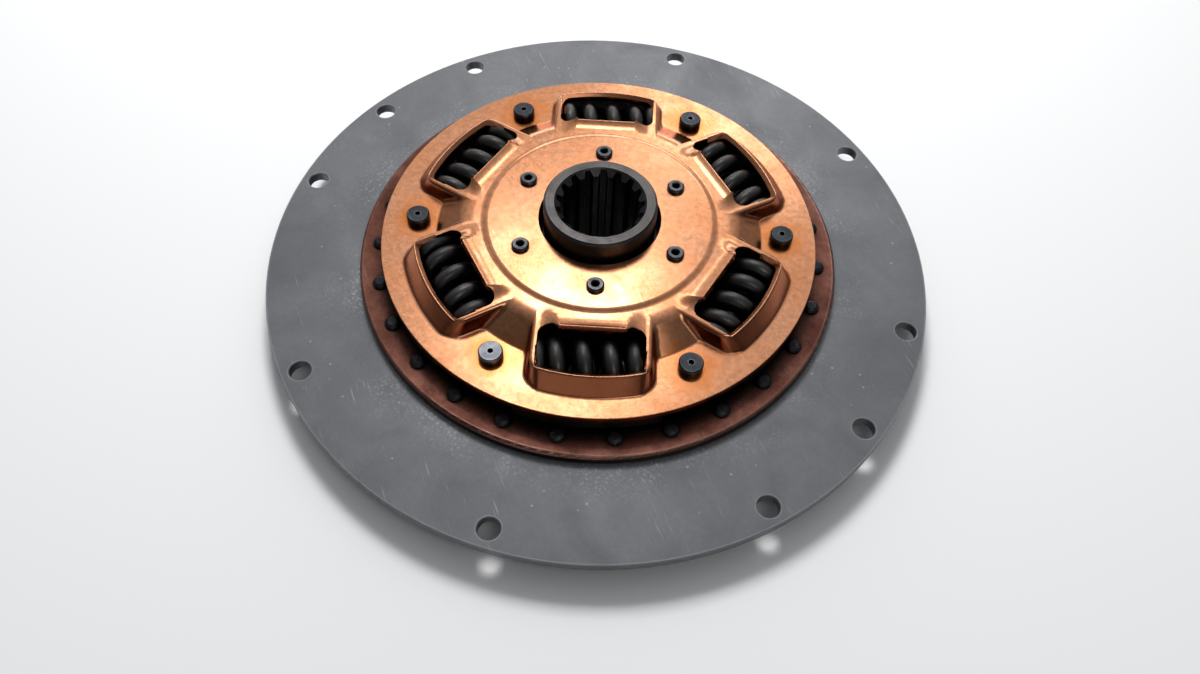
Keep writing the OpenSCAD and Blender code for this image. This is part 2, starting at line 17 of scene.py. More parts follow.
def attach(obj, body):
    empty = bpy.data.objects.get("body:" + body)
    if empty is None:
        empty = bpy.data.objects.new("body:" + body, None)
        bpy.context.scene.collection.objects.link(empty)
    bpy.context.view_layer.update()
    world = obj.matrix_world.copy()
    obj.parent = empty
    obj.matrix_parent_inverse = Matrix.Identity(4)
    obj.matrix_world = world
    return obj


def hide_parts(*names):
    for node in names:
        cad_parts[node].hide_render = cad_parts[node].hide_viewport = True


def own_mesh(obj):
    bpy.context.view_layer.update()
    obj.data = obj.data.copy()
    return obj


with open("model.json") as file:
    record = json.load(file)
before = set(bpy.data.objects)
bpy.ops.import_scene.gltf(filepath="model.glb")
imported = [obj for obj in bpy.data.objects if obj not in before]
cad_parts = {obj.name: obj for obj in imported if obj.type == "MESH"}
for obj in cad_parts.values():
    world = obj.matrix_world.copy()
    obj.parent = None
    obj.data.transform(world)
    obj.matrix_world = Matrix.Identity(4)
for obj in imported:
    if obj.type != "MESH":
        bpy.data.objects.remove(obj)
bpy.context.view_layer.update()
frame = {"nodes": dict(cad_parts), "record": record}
MM = 0.001

# %% [markdown]
# ## The camera
# The photograph looks down on the damper from about 56 degrees, turned 37 degrees round
# it, from half a metre away. A camera can be placed by eye, but then nothing lines up:
# here its place was worked out from the plate's bolt holes, and the lens from how fast
# the far side shrinks.

# %% The camera
lens_mm, camera_place = 28.022, Vector((196.9, -253.15, 412.4))
camera_az, camera_el, camera_roll = (math.radians(a) for a in (37.34, 56.17, 2.738))
forward = Vector((-math.sin(camera_az) * math.cos(camera_el),
                  math.cos(camera_az) * math.cos(camera_el), -math.sin(camera_el)))
level = Vector((math.cos(camera_az), math.sin(camera_az), 0))
upright = level.cross(forward)
right = math.cos(camera_roll) * level + math.sin(camera_roll) * upright
up = -math.sin(camera_roll) * level + math.cos(camera_roll) * upright

camera = bpy.data.objects.new("camera", bpy.data.cameras.new("camera"))
camera.data.sensor_width = 36
camera.data.lens = lens_mm
camera.data.clip_start = 0.02
turned = Matrix((right, up, -forward)).transposed().to_4x4()
camera.matrix_world = Matrix.Translation(camera_place * MM) @ turned
bpy.context.scene.collection.objects.link(camera)
bpy.context.scene.camera = camera
print("camera height above the floor:", round(camera.location.z / MM), "mm")

# %% [markdown]
# ## Light and floor
# Product shots like this one are lit by a broad lamp above and a little behind the
# object, in a room that is dimmer on the viewer's side. Metal shows mostly what it
# reflects, so the world is brighter towards the far side and overhead: that gives the
# faces that slope towards the viewer their deep brown.

# %% The world: pale beyond the damper, dimmer behind the viewer
bpy.context.scene.view_settings.view_transform = "Standard"


def toward(tilt, turn):
    """Unit vector: tilt from straight up, turn from the picture's far side, in degrees."""
    a = camera_az + math.radians(turn)
    s = math.sin(math.radians(tilt))
    return Vector((-math.sin(a) * s, math.cos(a) * s, math.cos(math.radians(tilt))))


world = bpy.data.worlds.new("studio")
bpy.context.scene.world = world
world.use_nodes = True
wn, wl = world.node_tree.nodes, world.node_tree.links
wn.clear()
sky_out = wn.new("ShaderNodeOutputWorld")
sky = wn.new("ShaderNodeBackground")
facing = wn.new("ShaderNodeVectorMath")
facing.operation = "DOT_PRODUCT"
facing.inputs[1].default_value = toward(52, 0)
sky_place = wn.new("ShaderNodeTexCoord")
ramp = wn.new("ShaderNodeValToRGB")
ramp.color_ramp.elements[0].position = 0.1
ramp.color_ramp.elements[0].color = (0.07, 0.072, 0.076, 1)
ramp.color_ramp.elements[1].position = 1.0
ramp.color_ramp.elements[1].color = (0.72, 0.73, 0.75, 1)
middle = ramp.color_ramp.elements.new(0.62)
middle.color = (0.24, 0.245, 0.255, 1)
wl.new(sky_place.outputs["Generated"], facing.inputs[0])
wl.new(facing.outputs["Value"], ramp.inputs["Fac"])
wl.new(ramp.outputs["Color"], sky.inputs["Color"])
wl.new(sky.outputs[0], sky_out.inputs["Surface"])
sky.inputs["Strength"].default_value = 1.0
print("world tones:", len(ramp.color_ramp.elements))

# %% [markdown]
# **Lamps.** The key lamp lights the damper and casts its shadow. Reflected in copper it
# would be a hard white patch, so it is hidden from glossy rays, and dim lamps round it
# give the soft highlights. The last one lifts the faces that look at the viewer.

# %% The lamps
aim = Vector((0, 0, 0.03))


def softbox(name, tilt, turn, distance, size, power):
    """A rectangular lamp that looks at the damper's middle."""
    lamp = bpy.data.objects.new(name, bpy.data.lights.new(name, "AREA"))
    lamp.data.shape = "RECTANGLE"
    lamp.data.size, lamp.data.size_y = size
    lamp.data.energy = power
    lamp.location = toward(tilt, turn) * distance + aim
    lamp.rotation_euler = (lamp.location - aim).to_track_quat("Z", "Y").to_euler()
    bpy.context.scene.collection.objects.link(lamp)
    return lamp


key_lamp = softbox("key_lamp", 38, 6, 1.3, (0.4, 0.34), 12)
key_lamp.visible_glossy = False
softbox("overhead_lamp", 32, 6, 1.2, (0.3, 0.26), 1.6)
softbox("far_lamp", 51, -12, 1.3, (0.36, 0.2), 0.7)
softbox("window_light", 79, 0, 1.6, (1.3, 0.3), 3.2)
softbox("room_light", 34, -150, 1.3, (0.5, 0.4), 1.2)
softbox("front_fill", 74, 176, 1.5, (1.3, 0.36), 0.75)
print("lamps:", len(bpy.data.lights))

# %% [markdown]
# **Floor.** A plain pale floor keeps the soft shadow and the spots of light under the
# bolt holes. It is nearly flat in tone, matt, and a tenth of a millimetre below the
# damper, so that the two never share a plane. It isn't part of the object.

# %% The floor


def new_material(name):
    """An empty node material: its tree, its Principled shader and its links."""
    m = bpy.data.materials.new(name)
    m.use_nodes = True
    return m, m.node_tree.nodes, m.node_tree.links, m.node_tree.nodes["Principled BSDF"]


floor_mesh = bpy.data.meshes.new("floor")
floor_z, reach_m = -0.0001, 4
corners = [(x * reach_m, y * reach_m, floor_z) for x, y in ((-1, -1), (1, -1), (1, 1), (-1, 1))]
floor_mesh.from_pydata(corners, [], [(0, 1, 2, 3)])
floor = bpy.data.objects.new("floor", floor_mesh)
bpy.context.scene.collection.objects.link(floor)
floor_finish, fn, fl, floor_shader = new_material("floor_paint")
paint = fn.new("ShaderNodeTexNoise")
paint.inputs["Scale"].default_value = 3
paint_tone = fn.new("ShaderNodeMapRange")
paint_tone.inputs["To Min"].default_value = 0.93
paint_tone.inputs["To Max"].default_value = 0.96
fl.new(paint.outputs["Fac"], paint_tone.inputs["Value"])
fl.new(paint_tone.outputs["Result"], floor_shader.inputs["Base Color"])
floor_shader.inputs["Roughness"].default_value = 0.9
floor_shader.inputs["Specular IOR Level"].default_value = 0.1
floor.data.materials.append(floor_finish)
print("floor:", 2 * reach_m, "m wide")

# %% [markdown]
# ## Effects that several finishes share
# Each effect is a node group, built once. Its inputs are sizes and amounts, its outputs
# are masks or heights, and every finish below mixes them in its own measure. All of them
# read the object's own coordinates in metres, so a scale of 1000 means a millimetre.

# %% Helpers for node groups


def calculator(nodes, links):
    """A function that adds Math nodes to one tree."""

    def calc(operation, a, b=None, c=None, clamp=False):
        """A Math node; each of a, b, c is a number or a socket. Returns its output."""
        node = nodes.new("ShaderNodeMath")
        node.operation = operation
        node.use_clamp = clamp
        for i, v in enumerate((a, b, c)):
            if isinstance(v, (int, float)):
                node.inputs[i].default_value = v
            elif v is not None:
                links.new(v, node.inputs[i])
        return node.outputs[0]

    return calc


def rise(calc, a, b, gain):
    """A mask: 0 while a is under b, then up to 1, gain times as fast as a grows."""
    return calc("MULTIPLY", calc("SUBTRACT", a, b), gain, clamp=True)


def length_of(calc, x, y):
    """The length of the vector (x, y)."""
    return calc("SQRT", calc("MULTIPLY_ADD", x, x, calc("MULTIPLY", y, y)))


def node_group(name, numbers, results):
    """A shader group with float inputs {name: default} and float outputs [names]."""
    g = bpy.data.node_groups.new(name, "ShaderNodeTree")
    for key, value in numbers.items():
        socket = g.interface.new_socket(key, in_out="INPUT", socket_type="NodeSocketFloat")
        socket.default_value = value
    for key in results:
        g.interface.new_socket(key, in_out="OUTPUT", socket_type="NodeSocketFloat")
    group_in, group_out = g.nodes.new("NodeGroupInput"), g.nodes.new("NodeGroupOutput")
    return g, g.nodes, g.links, group_in.outputs, group_out.inputs, calculator(g.nodes, g.links)


def object_place(nodes, links, *to):
    """The object's own coordinates, fed to the Vector input of the nodes given."""
    place = nodes.new("ShaderNodeTexCoord").outputs["Object"]
    for node in to:
        links.new(place, node.inputs["Vector"])
    return place


# %% [markdown]
# **Cloudiness.** Rolled, coated and handled steel is never one tone: oil, dust and the
# coating's thickness drift over centimetres. One soft noise, stretched by a second one,
# makes drifting clouds without a visible pattern.

# %% Cloudiness
clouds, gn, gl, g_in, g_out, calc = node_group(
    "clouds", {"Size": 0.03, "Contrast": 1.0}, ["Cloud"])
noise = gn.new("ShaderNodeTexNoise")
noise.inputs["Detail"].default_value = 4
noise.inputs["Roughness"].default_value = 0.55
noise.inputs["Distortion"].default_value = 0.6
object_place(gn, gl, noise)
gl.new(calc("DIVIDE", 1.0, g_in["Size"]), noise.inputs["Scale"])
centred = calc("SUBTRACT", noise.outputs["Fac"], 0.5)
spread = calc("MULTIPLY", centred, calc("MULTIPLY", g_in["Contrast"], 2.2))
gl.new(calc("ADD", spread, 0.5, clamp=True), g_out["Cloud"])
print("effect:", clouds.name)

# %% [markdown]
# **Grain.** Up close, coated sheet and forged steel have a fine tooth, under half a
# millimetre across. It hardly shows as colour, but it breaks up reflections, so it goes
# to the Height of a Bump node as well as to the tone.

# %% Grain
grain, gn, gl, g_in, g_out, calc = node_group("grain", {"Size": 0.0005}, ["Tone", "Height"])
fine, rough = (gn.new("ShaderNodeTexNoise") for _ in range(2))
fine.inputs["Detail"].default_value = 2
rough.inputs["Detail"].default_value = 1
object_place(gn, gl, fine, rough)
scale = calc("DIVIDE", 1.0, g_in["Size"])
for n, share in ((fine, 1.0), (rough, 0.23)):
    gl.new(calc("MULTIPLY", scale, share), n.inputs["Scale"])
half_fine = calc("MULTIPLY", fine.outputs["Fac"], 0.5)
gl.new(calc("MULTIPLY_ADD", rough.outputs["Fac"], 0.5, half_fine), g_out["Tone"])
gl.new(fine.outputs["Fac"], g_out["Height"])
print("effect:", grain.name)

# %% [markdown]
# ** Edge glint.** Handling polishes the coating off the edges, and a cut edge catches the
# lamp as a thin bright line. The edge colour paints both: rubbed wear, and a painted
# highlight for that line. The Bevel node gives the normal that a rounded edge would have;
# where it differs from the true normal, an edge is near.

# %% Edge glint
glint, gn, gl, g_in, g_out, calc = node_group(
    "edge_glint", {"Width": 0.0006, "Gain": 4.0}, ["Edge"])
bevel = gn.new("ShaderNodeBevel")
bevel.samples = 4
true_normal = gn.new("ShaderNodeNewGeometry")
agree = gn.new("ShaderNodeVectorMath")
agree.operation = "DOT_PRODUCT"
gl.new(g_in["Width"], bevel.inputs["Radius"])
gl.new(bevel.outputs["Normal"], agree.inputs[0])
gl.new(true_normal.outputs["Normal"], agree.inputs[1])
gl.new(rise(calc, 1.0, agree.outputs["Value"], g_in["Gain"]), g_out["Edge"])
print("effect:", glint.name)

# %% [markdown]
# **Turning marks.** A lathe leaves rings about the part's axis. The distance from the
# axis is fed to a noise in one dimension, so each ring is the same all the way round.

# %% Turning marks
rings, gn, gl, g_in, g_out, calc = node_group(
    "turning_marks", {"Centre X": 0.0, "Centre Y": 0.0, "Pitch": 0.0004}, ["Ring"])
split = gn.new("ShaderNodeSeparateXYZ")
object_place(gn, gl, split)
dx = calc("SUBTRACT", split.outputs["X"], g_in["Centre X"])
dy = calc("SUBTRACT", split.outputs["Y"], g_in["Centre Y"])
ring_noise = gn.new("ShaderNodeTexNoise")
ring_noise.noise_dimensions = "1D"
ring_noise.inputs["Scale"].default_value = 1
ring_noise.inputs["Detail"].default_value = 3
gl.new(calc("DIVIDE", length_of(calc, dx, dy), g_in["Pitch"]), ring_noise.inputs["W"])
gl.new(ring_noise.outputs["Fac"], g_out["Ring"])
print("effect:", rings.name)

# %% [markdown]
# **Scuffs and specks.** Stacked parts rub each other in thin, broken streaks, and dust
# and pin-point dents stay as specks. The streaks are a noise stretched along one
# direction and cut off high, the specks are the hearts of Voronoi cells.

# %% Scuffs and specks
streaks_per_m, patches_per_m = (60, 900, 300), 38
streak_level, patch_level, heart_size, speck_lot = 0.62, 0.52, 0.13, 0.72
marks, gn, gl, g_in, g_out, calc = node_group(
    "scuffs_and_specks", {"Speck size": 0.003, "Scuff turn": 0.5}, ["Scuff", "Speck"])
turn = gn.new("ShaderNodeVectorRotate")
turn.rotation_type = "Z_AXIS"
gl.new(g_in["Scuff turn"], turn.inputs["Angle"])
stretch = gn.new("ShaderNodeMapping")
stretch.inputs["Scale"].default_value = streaks_per_m
gl.new(turn.outputs["Vector"], stretch.inputs["Vector"])
streak = gn.new("ShaderNodeTexNoise")
streak.inputs["Scale"].default_value = 1
streak.inputs["Detail"].default_value = 2
gl.new(stretch.outputs["Vector"], streak.inputs["Vector"])
patch = gn.new("ShaderNodeTexNoise")
patch.inputs["Scale"].default_value = patches_per_m
cells = gn.new("ShaderNodeTexVoronoi")
object_place(gn, gl, turn, patch, cells)
thin = rise(calc, streak.outputs["Fac"], streak_level, 9)
where = rise(calc, patch.outputs["Fac"], patch_level, 8)
gl.new(calc("MULTIPLY", thin, where), g_out["Scuff"])
gl.new(calc("DIVIDE", 1.0, g_in["Speck size"]), cells.inputs["Scale"])
heart = rise(calc, heart_size, cells.outputs["Distance"], 14)
lot = gn.new("ShaderNodeSeparateColor")
gl.new(cells.outputs["Color"], lot.inputs[0])
chosen = calc("GREATER_THAN", lot.outputs["Red"], speck_lot)
gl.new(calc("MULTIPLY", heart, chosen), g_out["Speck"])
print("effect:", marks.name)

# %% [markdown]
# ** Shade in the recesses.** The pins' centre holes, the ring under the cover's rim and
# the foot of each head are painted darker. This is mostly painted shade, with some of the
# oil and dust that stay where no cloth reaches. The Ambient Occlusion node measures how
# closed in a point is, and the mask is strongest in the deepest places.

# %% Painted shade and grime in the recesses
open_enough = 0.92
shade_in_recesses, gn, gl, g_in, g_out, calc = node_group(
    "recess_shade_and_grime", {"Reach": 0.004, "Gain": 1.4}, ["Grime"])
closed = gn.new("ShaderNodeAmbientOcclusion")
closed.samples = 6
gl.new(g_in["Reach"], closed.inputs["Distance"])
gl.new(rise(calc, open_enough, closed.outputs["AO"], g_in["Gain"]), g_out["Grime"])
print("effect:", shade_in_recesses.name)

# %% [markdown]
# ** Lying and steep faces.** Steep faces are painted a deeper, redder brown: painted shade
# for the dark room that such faces reflect, and partly a thinner coat where pressing
# stretched the sheet. How level a face lies is the Z part of its normal.

# %% Lying and steep faces
lying, gn, gl, g_in, g_out, calc = node_group(
    "lying_faces", {"Steep at": 0.5, "Flat at": 0.95}, ["Flat"])
face = gn.new("ShaderNodeNewGeometry")
part = gn.new("ShaderNodeSeparateXYZ")
gl.new(face.outputs["Normal"], part.inputs[0])
fall = gn.new("ShaderNodeMapRange")
fall.interpolation_type = "SMOOTHSTEP"
gl.new(part.outputs["Z"], fall.inputs["Value"])
gl.new(g_in["Steep at"], fall.inputs["From Min"])
gl.new(g_in["Flat at"], fall.inputs["From Max"])
gl.new(fall.outputs["Result"], g_out["Flat"])
print("effect:", lying.name)

# %% [markdown]
# **Stains round the pins.** When the stop pins are riveted over, oil and heat leave an
# orange bloom on the copper round each head. The angle is folded into one sixth of a
# turn, so one pin's bloom serves for all six, and noise frays its edge.

# %% Stains round the pins
frays_per_m, fray_depth, pin_edge = 90, 0.014, 0.008
stain, gn, gl, g_in, g_out, calc = node_group(
    "pin_stain", {"Circle": 0.0953, "Turn": 0.6405, "Spread": 0.026}, ["Stain"])
split = gn.new("ShaderNodeSeparateXYZ")
fray = gn.new("ShaderNodeTexNoise")
fray.inputs["Scale"].default_value = frays_per_m
object_place(gn, gl, split, fray)
px, py = split.outputs["X"], split.outputs["Y"]
reach = length_of(calc, px, py)
angle = calc("SUBTRACT", calc("ARCTAN2", py, px), g_in["Turn"])
along = calc("MULTIPLY", calc("WRAP", angle, math.pi / 6, -math.pi / 6), reach)
outward = calc("SUBTRACT", reach, g_in["Circle"])
far_off = length_of(calc, along, outward)
bloom = gn.new("ShaderNodeMapRange")
bloom.interpolation_type = "SMOOTHSTEP"
gl.new(calc("MULTIPLY_ADD", fray.outputs["Fac"], fray_depth, far_off), bloom.inputs["Value"])
gl.new(g_in["Spread"], bloom.inputs["From Max"])
bloom.inputs["From Min"].default_value = pin_edge
bloom.inputs["To Min"].default_value = 1
bloom.inputs["To Max"].default_value = 0
gl.new(bloom.outputs["Result"], g_out["Stain"])
print("effect:", stain.name)

# %% [markdown]
# **Spatter.** Just outside the rear cover the plate carries a crumbly band of pale
# specks, left when the parts were coated together. Specks come from two sizes of
# Voronoi cells, held in a band by the distance from the axis and broken into heaps.

# %% Spatter in a band
crumb_sizes, crumb_reach, crumb_lot = (900, 420), 0.38, 0.6
heaps_per_m, heap_level = 30, 0.42
spatter, gn, gl, g_in, g_out, calc = node_group(
    "spatter_band", {"Inner": 0.1255, "Outer": 0.15}, ["Spatter"])
split = gn.new("ShaderNodeSeparateXYZ")
heaps = gn.new("ShaderNodeTexNoise")
heaps.inputs["Scale"].default_value = heaps_per_m
place = object_place(gn, gl, split, heaps)
reach = length_of(calc, split.outputs["X"], split.outputs["Y"])
inside = rise(calc, reach, g_in["Inner"], 900)
outside = gn.new("ShaderNodeMapRange")
gl.new(reach, outside.inputs["Value"])
gl.new(g_in["Inner"], outside.inputs["From Min"])
gl.new(g_in["Outer"], outside.inputs["From Max"])
outside.inputs["To Min"].default_value = 1
outside.inputs["To Max"].default_value = 0
crumbs = None
for cells_per_m in crumb_sizes:
    cells = gn.new("ShaderNodeTexVoronoi")
    cells.voronoi_dimensions = "2D"
    cells.inputs["Scale"].default_value = cells_per_m
    gl.new(place, cells.inputs["Vector"])
    dot = rise(calc, crumb_reach, cells.outputs["Distance"], 6)
    lot = gn.new("ShaderNodeSeparateColor")
    gl.new(cells.outputs["Color"], lot.inputs[0])
    dot = calc("MULTIPLY", dot, calc("GREATER_THAN", lot.outputs["Green"], crumb_lot))
    crumbs = dot if crumbs is None else calc("MAXIMUM", crumbs, dot)
where = rise(calc, heaps.outputs["Fac"], heap_level, 5)
band = calc("MULTIPLY", calc("MULTIPLY", inside, outside.outputs["Result"]), where)
gl.new(calc("MULTIPLY", crumbs, band), g_out["Spatter"])
print("effect:", spatter.name, "- in all", len(bpy.data.node_groups))

# %% [markdown]
# ## The finishes
# One function builds every metal here: two tones mixed by the clouds, darker grain,
# paler scuffs and specks, brighter edges, and a bump from the grain. What differs from
# one finish to the next is only the numbers, as it is in a plating shop.

# %% Placing and mixing


def place_group(n, tree, **values):
    """An instance of a shared effect in a material, with its own input values."""
    g = n.new("ShaderNodeGroup")
    g.node_tree = tree
    for key, value in values.items():
        g.inputs[key.replace("_", " ")].default_value = value
    return g


def mix(n, l, factor, a, b):
    """A colour mix; a and b are colours or sockets, the factor a socket."""
    m = n.new("ShaderNodeMix")
    m.data_type = "RGBA"
    for socket, v in ((m.inputs[0], factor), (m.inputs[6], a), (m.inputs[7], b)):
        if isinstance(v, tuple):
            socket.default_value = (*v, 1)
        else:
            l.new(v, socket)
    return m.outputs[2]


# %% [markdown]
# ** The builder.** The real layers go on in the order in which they came to be on the
# metal: the coat and its clouds, stains and spatter, lathe rings, scuffs and specks, worn
# edges. Painted light goes in between: steep faces get painted shade after the clouds, the
# edges a painted highlight with their wear, and last the recesses painted shade, with some
# grime, over everything.

# %% One builder for all the metals
steep_at, flat_at = 0.55, 0.93
grain_level, ring_level, mask_gain, dip_shade = 0.62, 0.5, 4, 0.35
stain_strength, spatter_strength, ring_depth, polish = 0.95, 0.45, 1.5, 0.08


def metal(name, tone, shade, edge, roughness=0.35, rough_spread=0.12, metallic=1.0,
          cloud=0.03, grain_size=0.0005, grain_tone=0.25, bump=0.2, bump_depth=0.00005,
          edge_width=0.0006, edge_gain=3.0, scuff=0.25, speck=0.3, speck_size=0.003,
          scuff_colour=(0.55, 0.55, 0.55), ring_pitch=None, ring_tone=0.3, steep=None,
          recess_reach=0.004, recess_gain=1.5, recess_colour=(0.012, 0.01, 0.009),
          stained=None, spattered=None):
    """A metal: tone and shade drift with the clouds; edge is the colour on edges, part rubbed wear
    and part painted highlight.
    """
    m, n, l, shader = new_material(name)
    calc = calculator(n, l)

    def layer(colour, mask, strength, over):
        """The colour with another one laid over it where the mask is."""
        return mix(n, l, calc("MULTIPLY", mask, strength), colour, over)

    drift = place_group(n, clouds, Size=cloud).outputs["Cloud"]
    tooth = place_group(n, grain, Size=grain_size)
    rubbed_edge_and_glint = place_group(n, glint, Width=edge_width, Gain=edge_gain).outputs["Edge"]
    marked = place_group(n, marks, Speck_size=speck_size)
    colour = mix(n, l, drift, shade, tone)
    # painted shade: steep faces take the steep colour, a deeper, redder brown
    if steep:
        lean = place_group(n, lying, Steep_at=steep_at, Flat_at=flat_at)
        colour = mix(n, l, lean.outputs["Flat"], steep, colour)
    dips = rise(calc, grain_level, tooth.outputs["Tone"], grain_tone * mask_gain)
    colour = mix(n, l, dips, colour, tuple(c * dip_shade for c in shade))
    if stained:
        bloomed = place_group(n, stain)
        colour = layer(colour, bloomed.outputs["Stain"], stain_strength, stained)
    if spattered:
        crumbly = place_group(n, spatter)
        colour = layer(colour, crumbly.outputs["Spatter"], spatter_strength, spattered)
    height = tooth.outputs["Height"]
    rough = calc("MULTIPLY_ADD", drift, -rough_spread, roughness + rough_spread / 2)
    if ring_pitch:
        turned = place_group(n, rings, Pitch=ring_pitch).outputs["Ring"]
        colour = mix(n, l, rise(calc, turned, ring_level, ring_tone * mask_gain), colour, edge)
        height = calc("MULTIPLY_ADD", turned, ring_depth, height)
    colour = layer(colour, marked.outputs["Scuff"], scuff, scuff_colour)
    colour = layer(colour, marked.outputs["Speck"], speck, scuff_colour)
    # the edge colour: rubbed wear, and a painted highlight along every edge
    colour = mix(n, l, rubbed_edge_and_glint, colour, edge)
    # painted shade, with some grime: recesses are darkened towards the recess colour
    recess_darkening = place_group(n, shade_in_recesses, Reach=recess_reach, Gain=recess_gain)
    colour = mix(n, l, recess_darkening.outputs["Grime"], colour, recess_colour)
    rough = calc("MULTIPLY_ADD", rubbed_edge_and_glint, -polish, rough, clamp=True)
    l.new(colour, shader.inputs["Base Color"])
    l.new(rough, shader.inputs["Roughness"])
    shader.inputs["Metallic"].default_value = metallic
    relief = n.new("ShaderNodeBump")
    relief.inputs["Strength"].default_value = bump
    relief.inputs["Distance"].default_value = bump_depth
    l.new(height, relief.inputs["Height"])
    l.new(relief.outputs["Normal"], shader.inputs["Normal"])
    return m


# %% [markdown]
# ** Steel and copper.** The plate is satin rolled steel. The covers wear a thin copper
# coat, bright and golden on the pressed front cover, dusky and pinkish on the ring behind
# it; the ring's darkest tones are partly painted shade, for the shadow under the front
# cover's rim. Springs are oil-blackened, the hub and pins dark, the tubular rivets zinc-grey.

# %% The finishes of this damper
finishes = {
    "plate_steel": metal(
        "satin_plate", (0.225, 0.23, 0.242), (0.165, 0.169, 0.18), (0.55, 0.57, 0.6),
        roughness=0.45, metallic=0.6, recess_gain=0.5, spattered=(0.5, 0.5, 0.49),
        cloud=0.035, grain_tone=0.12, bump=0.12, scuff=0.35, speck=0.5,
        speck_size=0.006, edge_width=0.0012, edge_gain=5.0),
    "bright_copper": metal(
        "bright_copper_coat", (0.88, 0.425, 0.235), (0.72, 0.295, 0.135), (1.0, 0.8, 0.62),
        roughness=0.23, rough_spread=0.1, cloud=0.022, grain_size=0.0006, grain_tone=0.32,
        bump=0.1, scuff=0.25, speck=0.35, scuff_colour=(0.95, 0.75, 0.6),
        steep=(0.37, 0.105, 0.046), recess_reach=0.003, recess_gain=0.8,
        recess_colour=(0.12, 0.03, 0.015), stained=(0.72, 0.22, 0.045),
        edge_width=0.0004, edge_gain=1.5),
    # painted shade: the dusky ring's dark shade tone and wide recess darkening stand in for the
    # shadow under the front cover's rim
    "dusky_copper": metal(
        "dusky_copper_coat", (0.38, 0.16, 0.115), (0.12, 0.038, 0.025), (1.0, 0.62, 0.5),
        roughness=0.37, recess_reach=0.018, recess_gain=3.0, edge_width=0.0016,
        edge_gain=8.0, cloud=0.03, grain_size=0.0008, grain_tone=0.35, bump=0.4,
        scuff=0.2, speck=0.25, scuff_colour=(0.6, 0.45, 0.4)),
    "ring_rivet_steel": metal(
        "blackened_rivet", (0.05, 0.048, 0.052), (0.025, 0.024, 0.027), (0.3, 0.29, 0.3),
        roughness=0.42, cloud=0.012, grain_size=0.0006, bump=0.3),
    "pack_steel": metal(
        "hardened_pack_steel", (0.1, 0.1, 0.11), (0.05, 0.05, 0.055), (0.35, 0.35, 0.37),
        roughness=0.4, ring_pitch=0.0006),
    "bright_rivet_steel": metal(
        "zinc_rivet", (0.12, 0.125, 0.13), (0.07, 0.073, 0.078), (0.6, 0.61, 0.63),
        roughness=0.34, cloud=0.006, speck=0.1, scuff=0.1, edge_width=0.0004),
    "friction_lining": metal(
        "friction_lining", (0.13, 0.11, 0.09), (0.07, 0.06, 0.05), (0.2, 0.17, 0.14),
        roughness=0.75, metallic=0.0, grain_size=0.0009, grain_tone=0.5, bump=0.6),
    "bush_plastic": metal(
        "bush_plastic", (0.1, 0.09, 0.08), (0.07, 0.062, 0.055), (0.16, 0.15, 0.14),
        roughness=0.45, metallic=0.0, bump=0.2),
    "hub_steel": metal(
        "turned_hub_steel", (0.12, 0.113, 0.108), (0.075, 0.07, 0.067), (0.34, 0.33, 0.33),
        roughness=0.36, cloud=0.014, ring_pitch=0.0006, ring_tone=0.12, scuff=0.15,
        speck=0.15, edge_width=0.0006),
    "pin_steel": metal(
        "blued_pin_steel", (0.075, 0.08, 0.09), (0.035, 0.038, 0.044), (0.4, 0.41, 0.44),
        recess_reach=0.004, recess_gain=8.0, roughness=0.36, cloud=0.01, scuff=0.2,
        speck=0.2, edge_width=0.0006),
    "spring_steel": metal(
        "black_spring_wire", (0.12, 0.116, 0.112), (0.06, 0.058, 0.056), (0.26, 0.26, 0.25),
        roughness=0.38, cloud=0.015, grain_tone=0.1, bump=0.15, scuff=0.25, speck=0.25,
        scuff_colour=(0.2, 0.2, 0.21), edge_gain=0.5),
}
slot_of = {p["node"]: p["material_slot"] for p in frame["record"]["subparts"]}
print("finishes:", len(finishes))

# %% [markdown]
# One stop pin, the front left one, is painted pale: a painted highlight for the light its
# top catches. It has the same build with paler numbers.

# %% Every CAD node gets the finish that its record names
highlit_pin = metal(
    "highlit_pin_steel", (0.36, 0.37, 0.4), (0.2, 0.21, 0.23), (0.7, 0.72, 0.76),
    recess_reach=0.004, recess_gain=8.0, roughness=0.4, cloud=0.006, scuff=0.2,
    speck=0.2, edge_width=0.0006)
for node_name, node in frame["nodes"].items():
    for node_slot in node.material_slots:
        node_slot.material = finishes[slot_of[node_name]]
# painted highlight: the front left pin gets the pale finish
frame["nodes"]["stop_pin_5"].material_slots[0].material = highlit_pin
print("slots:", sorted(set(slot_of.values())))

# %% [markdown]
# ## Round-offs by distance
# The front cover is pressed from one sheet, so every fold on it is rounded. Instead of
# modelling each fillet, the sheet's upper side is written as a height: solids bounded by
# planes and cones are joined, and each joint is rounded with its own radius. Every
# surface carries its distance and its direction, so a joint can find the exact arc
# between the two, and the directions become the mesh's normals.

# %% Surfaces that carry distance and direction


def crest(p, q, r):
    """The part common to two solids, with the edge between them rounded."""
    (a, ga), (b, gb) = p, q
    c = (ga * gb).sum(1)
    k = np.maximum(1 - c * c, 1e-5)
    pa, pb = a + r, b + r
    wa, wb = (pa - c * pb) / k, (pb - c * pa) / k
    v = wa[:, None] * ga + wb[:, None] * gb
    size = np.maximum(np.sqrt((v * v).sum(1)), 1e-9)
    arc, first = (wa > 0) & (wb > 0), a >= b
    d = np.where(arc, size - r, np.where(first, a, b))
    g = np.where(arc[:, None], v / size[:, None], np.where(first[:, None], ga, gb))
    return d, g


def valley(p, q, r):
    """Two solids joined, with the corner between them filled by an arc."""
    d, g = crest((-p[0], -p[1]), (-q[0], -q[1]), r)
    return -d, -g


